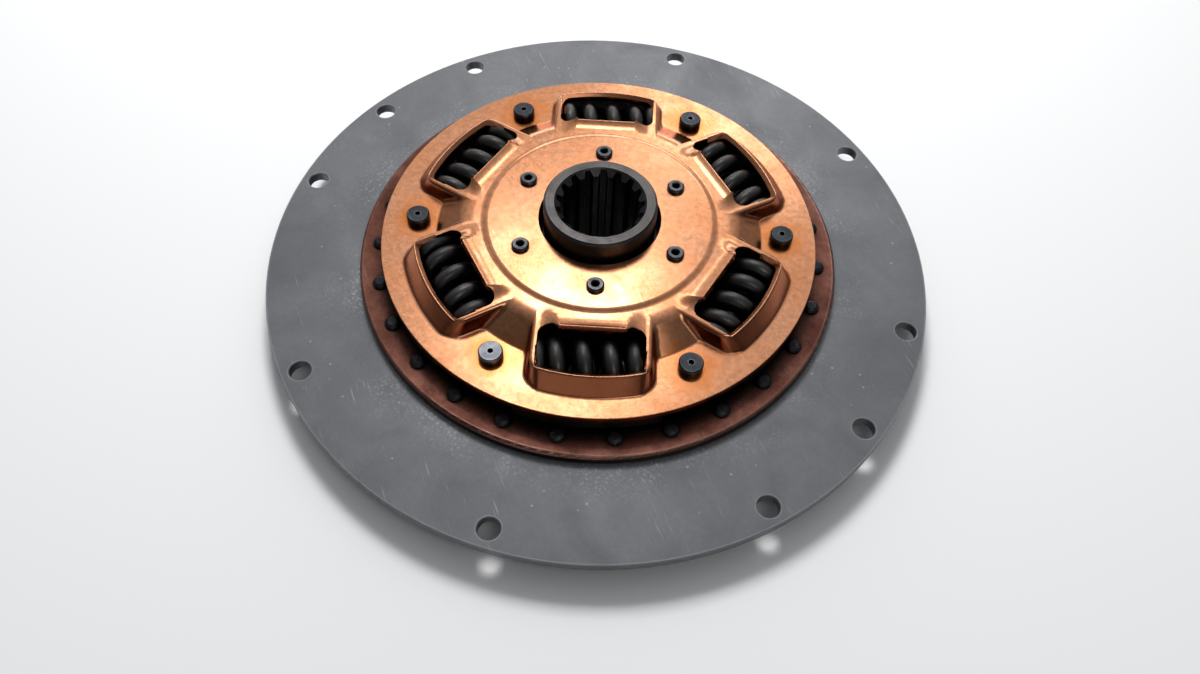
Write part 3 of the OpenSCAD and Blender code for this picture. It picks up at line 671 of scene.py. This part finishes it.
# %% [markdown]
# **The pressed shape.** From the outside in: a flat rim, six raised window frames with a
# leaning wall at each end and a lip outside, a sloping dish between them, a flat disc
# with a low step, and on each window's inner side a short tab bent upwards. The numbers
# are the CAD's, in millimetres, so the mesh lies on the solid that it replaces. Three
# small forms differ, as a last look at the photograph asked: the tabs are a little
# shorter, the reliefs beside them reach less far in, and the disc's step is softer.

# %% The cover's numbers
window_turn = 6.7
sheet = 3.5
rim_r, bore_r = 113.6, 31.5
rim_z, disc_z, step_z = 35.7, 45.1, 45.8
step_r, step_lean, step_end_r = 59.6, 1.25, 66
slope_foot_r, slope_tilt = 85.0, math.radians(32.07)
wall_t, wall_tilt = 31.0, math.radians(14.6)
lip_foot_r, lip_edge_r, lip_z, lip_tilt = 102.8, 96.0, 44.1, math.radians(51.0)
frame_tilt = math.radians(2.3)
corner_at, corner_turn, corner_tilt = (100.19, 23.0), math.radians(42.95), math.radians(31.35)
corner_out = 1
crease_n, tab_n, tab_z = 66.5, 70.0, 46.71
tab_tilt, tab_t, tab_side_lean = math.radians(24.7), 16.4, 0.3
opening_t, opening_r, opening_corner, tab_cut_n = 25.7, 93.6, 3.6, 71.2
relief_at, relief_r = (74.0, 20.7), 5.0
rivet_r, rivet_hole, pin_r, pin_hole = 45.1, 3.4, 95.3, 4.9
edge_round, lip_overrun, relief_overlap = 0.4, 0.6, 0.3

# %% The folds' radii, on the upper side
dish_round, step_round, rim_round, tab_round = 13.0, 2.5, 1.3, 13.0
side_round, roof_round, hump_round, tab_side_round = 8.0, 2.0, 4.0, 0.2
tabs_within_n, lips_beyond_r, nowhere = 80, 85, 50.0
print("sheet:", sheet, "mm thick, folds from", rim_round, "to", dish_round, "mm")

# %% Heights of the pressed sheet


def sector(x, y):
    """A point's radius, and in its window n along the axis, t across and the sign of t."""
    radius = np.hypot(x, y)
    a = np.degrees(np.arctan2(y, x)) - window_turn
    a = np.radians((a + 30) % 60 - 30)
    return radius, radius * np.cos(a), radius * np.abs(np.sin(a)), np.where(a < 0, -1.0, 1.0)


def pressing(x, y, z, lower):
    """Distance and direction of the sheet's upper side, or of its lower side."""
    radius, n, t, side = sector(x, y)
    out = np.stack([x / radius, y / radius], 1)
    turn = np.arctan2(y, x)
    local = side * np.arctan2(t, n)
    axis = np.stack([np.cos(turn - local), np.sin(turn - local)], 1)
    across = np.stack([-axis[:, 1] * side, axis[:, 0] * side], 1)

    def surface(u, v, plan, tilt):
        """A plane or cone through u = v = 0, its normal raised by tilt from plan."""
        lean_in, lean_up = math.cos(tilt), math.sin(tilt)
        g = np.concatenate([plan * lean_in, np.full((len(x), 1), lean_up)], 1)
        return u * lean_in + v * lean_up, g

    flat, upright_tilt = np.zeros((len(x), 2)), math.pi / 2
    rim = surface(0, z - rim_z, flat, upright_tilt)
    disc = surface(0, z - disc_z, flat, upright_tilt)
    slope = surface(radius - slope_foot_r, z - rim_z, out, upright_tilt - slope_tilt)
    dish = crest(slope, disc, dish_round)
    step = crest(surface(0, z - step_z, flat, upright_tilt),
                 surface(radius - step_r, z - (disc_z + step_z) / 2, out, step_lean), step_round)
    step = np.where(radius > step_end_r, nowhere, step[0]), step[1]
    wall = surface(t - wall_t, z - rim_z, across, wall_tilt)
    lip = surface(radius - lip_foot_r, z - rim_z, out, upright_tilt - lip_tilt)
    turned = axis * math.cos(corner_turn) + across * math.sin(corner_turn)
    along = (n - corner_at[0]) * math.cos(corner_turn) + (t - corner_at[1]) * math.sin(corner_turn)
    corner = surface(along - corner_out / math.cos(corner_tilt), z - rim_z, turned, corner_tilt)
    roof = surface(radius - lip_edge_r, z - lip_z, out, upright_tilt - frame_tilt)
    sides = crest(crest(lip, corner, side_round), wall, side_round)
    hump = crest(crest(sides, roof, roof_round), disc, hump_round)
    tab = surface(crease_n - n, z - disc_z, -axis, upright_tilt - tab_tilt)
    tab_side = surface(t - tab_t, z - disc_z, across, tab_side_lean)
    tab = crest(tab, tab_side, tab_side_round)
    tab = np.where(n > tabs_within_n, nowhere, tab[0]), tab[1]
    whole = valley(valley(dish, hump, hump_round), rim, rim_round)
    whole = valley(valley(whole, step, step_round), tab, tab_round)
    if lower:
        return whole[0] + sheet, whole[1]
    lip_cut = surface(lip_edge_r - radius, z - lip_z, -out, lip_tilt)
    elsewhere = (t > opening_t + lip_overrun) | (radius < lips_beyond_r)
    lip_cut = np.where(elsewhere, -nowhere, lip_cut[0]), lip_cut[1]
    tab_cut = surface(n - tab_n, z - tab_z, axis, tab_tilt)
    elsewhere = (t > tab_t) | (n > tabs_within_n)
    tab_cut = np.where(elsewhere, -nowhere, tab_cut[0]), tab_cut[1]
    return crest(crest(whole, lip_cut, edge_round), tab_cut, edge_round)


lowest, highest, halvings = 25.0, 52.0, 26


def height_of(x, y, lower):
    """The height at which the distance is nothing, by halving; and the direction there."""
    low, high = np.full(len(x), lowest), np.full(len(x), highest)
    for _ in range(halvings):
        z = (low + high) / 2
        over = pressing(x, y, z, lower)[0] > 0
        high, low = np.where(over, z, high), np.where(over, low, z)
    z = (low + high) / 2
    return z, pressing(x, y, z, lower)[1]


# %% [markdown]
# **The outline in plan.** A second distance says where there is metal at all: between the
# bore and the rim, and not in a window, a rivet hole or a pin hole. The window's inner
# side follows the tab and the round reliefs beside it.

# %% Where the sheet has metal


def metal_left(x, y):
    """How far a plan point is inside the metal; below nothing it is in an opening."""
    radius, n, t, _ = sector(x, y)
    past_end, past_lip, r = t - opening_t, radius - opening_r, opening_corner
    outer = np.minimum(-r, np.maximum(past_end, past_lip)) + np.hypot(
        np.maximum(past_end + r, 0), np.maximum(past_lip + r, 0))
    before_tab = tab_cut_n - n
    beside_tab = np.where(t < relief_at[1] - relief_r + relief_overlap, 0, nowhere)
    relief = np.hypot(n - relief_at[0], t - relief_at[1]) - relief_r
    inner = np.minimum(before_tab + beside_tab, relief)
    inner = np.where(n > relief_at[0], np.minimum(inner, before_tab), inner)
    window = np.maximum(outer, inner)
    rivet = np.hypot(n - rivet_r, t) - rivet_hole
    pin_n, pin_t = pin_r * math.cos(math.pi / 6), pin_r * math.sin(math.pi / 6)
    pin = np.hypot(n - pin_n, t - pin_t) - pin_hole
    return np.minimum.reduce([rim_r - radius, radius - bore_r, window, rivet, pin])


# %% [markdown]
# **The plan grid.** Rows and columns are laid closely where the sheet folds and widely
# where it is flat. Columns run parallel to the window's walls and rows run straight
# along the tab's crease, so the folds stay crisp.

# %% Rows and columns
across_t = [
    *np.linspace(0, 14.4, 10), 15.0, 15.5, 15.9, 16.5, 17.5, 18.6, 19.8, 21.0, 22.1, 23.0,
    23.7, 24.3, 24.8, 25.3, 25.7, 26.15, 26.6, 27.0, 27.4, 27.8, 28.2, 28.7, 29.2, 29.7,
    30.2, 30.7, 31.1, 31.5, 32.0, 32.7]
beyond = [0.1, 0.22, 0.36, 0.5, 0.62, 0.72, 0.8, 0.87, 0.94, 1.0]
rows = [
    31.9, 35, 38.5, 41.2, 42.3, 43.6, 45.1, 46.6, 47.9, 49, 52, 55, 57.5, 58.7, 59.2,
    59.45, 59.7, 59.95, 60.2, 60.6, 61.4, 62.6, 63.8, 64.8, 65.5, 66.0, 66.4, 66.8, 67.3,
    67.8, 68.3, 68.8, 69.3, 69.7, 69.95, 70.1, 70.35, 70.7, 71.2, 71.9, 72.8, 73.6, 74.4,
    75.5, 77, 78.8, 80.4, 82, 83.2, 84, 84.6, 85.1, 85.7, 86.6, 88, 89.6, 91.2, 92.4,
    93.2, 94.0, 94.6, 95.1, 95.5, 95.8, 96.1, 96.5, 97.1, 97.9, 98.8, 99.7, 100.5, 101.2,
    101.8, 102.3, 102.8, 103.3, 104, 105.5, 107.5, 109.5, 111.5, 112.6, 113.2]
straight_rows = [60.5, 65, 73.3, 82]
least_r = 68


def plan_point(row, column):
    """Plan place of a grid point: radius and angle from the window's middle, in radians."""
    fade = np.interp(row, straight_rows, [0, 1, 1, 0])
    fade = fade * fade * (3 - 2 * fade)
    t = across_t[min(column, len(across_t) - 1)]
    radius = row + fade * (math.hypot(row, min(t, opening_t)) - row)
    a = math.asin(t / max(radius, least_r))
    if column >= len(across_t):
        a += beyond[column - len(across_t)] * (math.pi / 6 - a)
    return radius, a


half = [[plan_point(r, c) for c in range(len(across_t) + len(beyond))] for r in rows]
grid = []
for line in half:
    for k in range(6):
        middle_a = math.radians(window_turn + 60 * k)
        for radius, a in reversed(line[1:]):
            grid.append((radius * math.cos(middle_a - a), radius * math.sin(middle_a - a)))
        for radius, a in line[:-1]:
            grid.append((radius * math.cos(middle_a + a), radius * math.sin(middle_a + a)))
plan = np.array(grid)
per_row = len(grid) // len(rows)
print("plan grid:", len(rows), "rows of", per_row)

# %% [markdown]
# **Trimming.** Points close to the outline are drawn onto it, so that no sliver is left,
# and the triangles that still cross it are cut there. The cut stops a little short of the
# true outline: the rest is a narrow rounded edge, as a punched edge has.

# %% Trim the plan to the outline
trim, snap, touching = edge_round, 0.22, 1e-3
snap_steps, cut_halvings = 3, 20


def gap(p):
    """How far plan points are inside the trimmed outline."""
    return metal_left(p[:, 0], p[:, 1]) - trim


def outline_direction(p):
    """Unit direction in plan in which the metal gets deeper."""
    e = touching
    g = np.stack([gap(p + [e, 0]) - gap(p - [e, 0]), gap(p + [0, e]) - gap(p - [0, e])], 1)
    return g / np.maximum(np.hypot(g[:, 0], g[:, 1]), 1e-12)[:, None]


depth = gap(plan)
near = np.abs(depth) < snap
moved = plan.copy()
for _ in range(snap_steps):
    moved[near] -= gap(moved[near])[:, None] * outline_direction(moved[near])
settled = near & (np.abs(gap(moved)) < touching)
plan[settled] = moved[settled]
depth = gap(plan)
depth[settled] = 0.0

points = [tuple(p) for p in plan]
cut_edges, faces = {}, []


def cut_point(i, j):
    """The point where the outline crosses the edge between two plan points."""
    key = (min(i, j), max(i, j))
    if key not in cut_edges:
        a, b = np.array(points[key[0]]), np.array(points[key[1]])
        low, high = (0.0, 1.0) if depth[key[0]] > 0 else (1.0, 0.0)
        for _ in range(cut_halvings):
            m = (low + high) / 2
            if gap((a + (b - a) * m)[None])[0] > 0:
                low = m
            else:
                high = m
        cut_edges[key] = len(points)
        points.append(tuple(a + (b - a) * (low + high) / 2))
    return cut_edges[key]


def keep(tri):
    """Add what the outline leaves of a triangle."""
    state = [0 if depth[i] == 0 else (1 if depth[i] > 0 else -1) for i in tri]
    if min(state) >= 0:
        middle_depth = gap(np.mean([points[i] for i in tri], 0)[None])[0]
        if max(state) > 0 or middle_depth > 0:
            faces.append(tri)
        return
    if max(state) <= 0:
        return
    loop = []
    for a in range(3):
        b = (a + 1) % 3
        if state[a] >= 0:
            loop.append(tri[a])
        if state[a] * state[b] < 0:
            loop.append(cut_point(tri[a], tri[b]))
    for a in range(1, len(loop) - 1):
        faces.append((loop[0], loop[a], loop[a + 1]))


half_window = per_row // 12  # the diagonals are mirrored from one half to the next
for r in range(len(rows) - 1):
    for c in range(per_row):
        a, b = r * per_row + c, r * per_row + (c + 1) % per_row
        d, e = a + per_row, b + per_row
        cell = [depth[i] for i in (a, b, d, e)]
        if max(cell) <= 0 and min(cell) < 0:
            continue
        if (c // half_window) % 2:
            keep((a, d, e))
            keep((a, e, b))
        else:
            keep((a, d, b))
            keep((b, d, e))
points = np.array(points)
print("sheet plan:", len(points), "points", len(faces), "triangles")

# %% [markdown]
# **Two sides and a rim.** The plan is lifted twice, to the sheet's upper and lower sides,
# which are a sheet's thickness apart measured square to it. Two more rings of points
# along every border make the narrow rounded edges and close the mesh.

# %% Upper side, lower side and rounded rim of the sheet
faces = np.array(faces)
used = np.unique(faces)
renumber = np.full(len(points), -1)
renumber[used] = np.arange(len(used))
points, faces = points[used], renumber[faces]
upper_z, upper_n = height_of(points[:, 0], points[:, 1], False)
lower_z, lower_n = height_of(points[:, 0], points[:, 1], True)
count = len(points)
directed = {}
for tri in faces:
    for a in range(3):
        directed[(int(tri[a]), int(tri[(a + 1) % 3]))] = True
border = [e for e in directed if (e[1], e[0]) not in directed]
on_border = np.array(sorted({v for e in border for v in e}))
ring_index = np.full(count, -1)
ring_index[on_border] = np.arange(len(on_border))
inward = outline_direction(points[on_border])
rim_plan = points[on_border] - trim * inward
most_of_edge = 0.3
drop = np.minimum(trim, (upper_z[on_border] - lower_z[on_border]) * most_of_edge)
side_n = np.concatenate([-inward, np.zeros((len(on_border), 1))], 1)
verts = np.concatenate([
    np.column_stack([points, upper_z]), np.column_stack([points, lower_z]),
    np.column_stack([rim_plan, upper_z[on_border] - drop]),
    np.column_stack([rim_plan, lower_z[on_border] + drop])]) * MM
normals = np.concatenate([upper_n, -lower_n, side_n, side_n])
top_ring, low_ring = 2 * count, 2 * count + len(on_border)
sheet_faces = [tuple(int(i) for i in f) for f in faces]
sheet_faces += [(int(f[2]) + count, int(f[1]) + count, int(f[0]) + count) for f in faces]
for a, b in border:
    ra, rb = int(ring_index[a]), int(ring_index[b])
    sheet_faces += [(b, a, top_ring + ra, top_ring + rb),
                    (top_ring + rb, top_ring + ra, low_ring + ra, low_ring + rb),
                    (low_ring + rb, low_ring + ra, a + count, b + count)]
print("cover: triangles", 2 * len(faces) + 6 * len(border), "heights",
      round(float(upper_z.min()), 2), round(float(upper_z.max()), 2))

# %% [markdown]
# **The cover as an object.** Blender would average the normals of neighbouring faces, and
# then wide flat faces look swollen beside narrow folds. The exact directions are known
# here, so they are given to the mesh. The finer mesh then stands in the CAD cover's place.

# %% A mesh object with its own normals


def new_piece(name, points_m, polygons, piece_normals=None):
    """A smooth mesh object at the origin, linked to the scene."""
    mesh = bpy.data.meshes.new(name)
    mesh.from_pydata([tuple(map(float, p)) for p in points_m], [], polygons)
    mesh.validate()
    mesh.polygons.foreach_set("use_smooth", [True] * len(mesh.polygons))
    if piece_normals is not None:
        mesh.normals_split_custom_set_from_vertices([tuple(map(float, v)) for v in piece_normals])
    mesh.update()
    piece = bpy.data.objects.new(name, mesh)
    bpy.context.scene.collection.objects.link(piece)
    return piece


cover = new_piece("pressed_cover", verts, sheet_faces, normals)
cover.data.materials.append(finishes["bright_copper"])
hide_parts("front_cover")
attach(cover, "drive_side")
print("cover polygons:", len(cover.data.polygons))

# %% [markdown]
# ## The springs
# A damper spring is wound from round wire, its last coil laid flat against the one
# before, and its ends ground square so that they push evenly on the window's sides. A
# curve with a bevel would do for the wire, but not for the ground ends: here rings of
# points follow the helix, and points beyond the end plane are laid into it.

# %% One spring, as rings of points along a helix
ground_off, end_gap = 0.14, 0.15


def spring_points(length, outer, wire, turns, steps, sides):
    """Points of a closed, ground spring along Z, centred, in millimetres; and its rings."""
    grind = -ground_off * wire
    end_pitch = wire + end_gap
    pitch = (length - 2 * grind - 2 * end_pitch) / (turns - 2)
    r = (outer - wire) / 2
    climb = math.atan(pitch / (2 * math.pi * r))
    flat_in, lift = math.sin(climb), math.cos(climb)
    knots = [0, 1, turns - 1, turns]
    heights = np.cumsum([grind - length / 2, end_pitch, pitch * (turns - 2), end_pitch])
    total = int(round(turns * steps))
    out = []
    for i in range(total + 1):
        turned = turns * i / total
        a = 2 * math.pi * turned
        radial = np.array([math.cos(a), math.sin(a), 0])
        beside = np.array([math.sin(a) * flat_in, -math.cos(a) * flat_in, lift])
        centre = radial * r + np.array([0, 0, float(np.interp(turned, knots, heights))])
        for j in range(sides):
            b = 2 * math.pi * j / sides
            p = centre + wire / 2 * (math.cos(b) * radial + math.sin(b) * beside)
            p[2] = min(max(p[2], -length / 2), length / 2)
            out.append(p)
    return np.array(out), total + 1


def tube_faces(ring_count, sides):
    """Faces of a tube of rings, with a flat face at each end."""
    polygons = [tuple(range(sides))]
    for i in range(ring_count - 1):
        for j in range(sides):
            a, b = i * sides + j, i * sides + (j + 1) % sides
            polygons.append((a, a + sides, b + sides, b))
    last = (ring_count - 1) * sides
    polygons.append(tuple(last + j for j in reversed(range(sides))))
    return polygons


# %% [markdown]
# When the hub turns, its flange pushes each spring together, from one end or the other.
# Here the springs lie at rest, all of one length, centred along their windows.

# %% The twelve springs in their windows
spring_seat_r, spring_level, clocking = 81.5, 27.5, 234


def seat(points_mm, k):
    """Lays spring points along window k, turned about the spring's own axis."""
    c, s = math.cos(math.radians(clocking)), math.sin(math.radians(clocking))
    x, y, z = points_mm.T
    x, y = c * x - s * y, s * x + c * y
    n, t, w = x + spring_seat_r, z, spring_level - y
    a = math.radians(window_turn + 60 * k)
    c, s = math.cos(a), math.sin(a)
    return np.column_stack([n * c - t * s, n * s + t * c, w]) * MM


spring_length = 51
spring_kinds = {"outer_spring": (31, 8.5, 4.75, 44, 22), "inner_spring": (13, 3.2, 8, 26, 10)}
for kind, (outer, wire, turns, steps, sides) in spring_kinds.items():
    wound, ring_count = spring_points(spring_length, outer, wire, turns, steps, sides)
    for k in range(6):
        piece = new_piece(f"wound_{kind}_{k + 1}", seat(wound, k), tube_faces(ring_count, sides))
        piece.data.materials.append(finishes["spring_steel"])
        piece.data.set_sharp_from_angle(angle=math.radians(40))
        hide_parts(f"{kind}_{k + 1}")
        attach(piece, "drive_side")
        a = math.radians(window_turn + 60 * k)
        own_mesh(piece)
    print(kind, "faces each:", len(piece.data.polygons))
